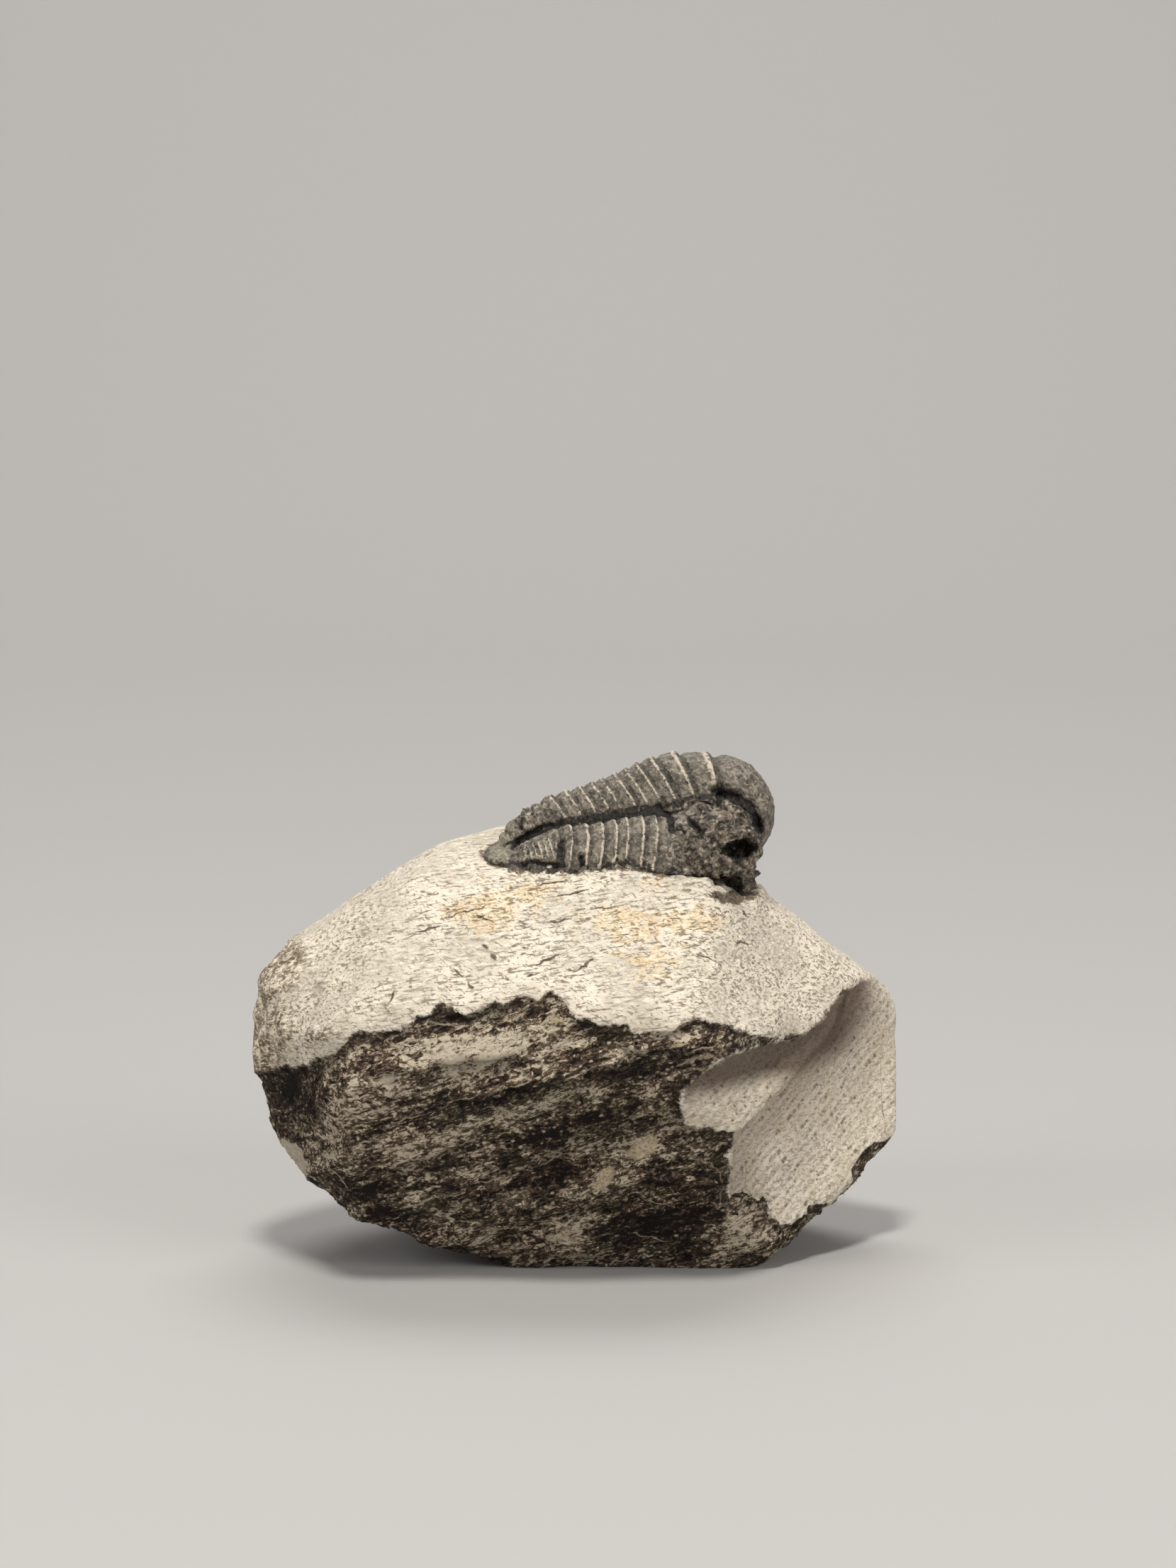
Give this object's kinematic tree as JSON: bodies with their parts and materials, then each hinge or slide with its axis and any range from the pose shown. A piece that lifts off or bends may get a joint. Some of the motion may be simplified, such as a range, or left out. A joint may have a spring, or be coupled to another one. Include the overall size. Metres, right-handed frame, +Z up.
{
  "type": "trilobite fossil",
  "caption": "Arched trilobite fossil, dark and ribbed, lying on the scribed top of a rough block of pale limestone with a dark broken front.",
  "frame": {"origin": "on the flat patch that the block rests on, under the middle of the block", "axes": "+Z up, +X towards the trilobite's head, -Y the side shown in the picture"},
  "size_m": [0.0555, 0.0393, 0.0435],
  "materials": {
    "limestone": "matt natural limestone, scribed on top and weathered brown on the front",
    "dark_fossil": "dark grey petrified shell, slightly satin, with worn pale ridges"
  },
  "bodies": {
    "root": {"limestone_block": "limestone", "trilobite": "dark_fossil"}
  },
  "joints": []
}
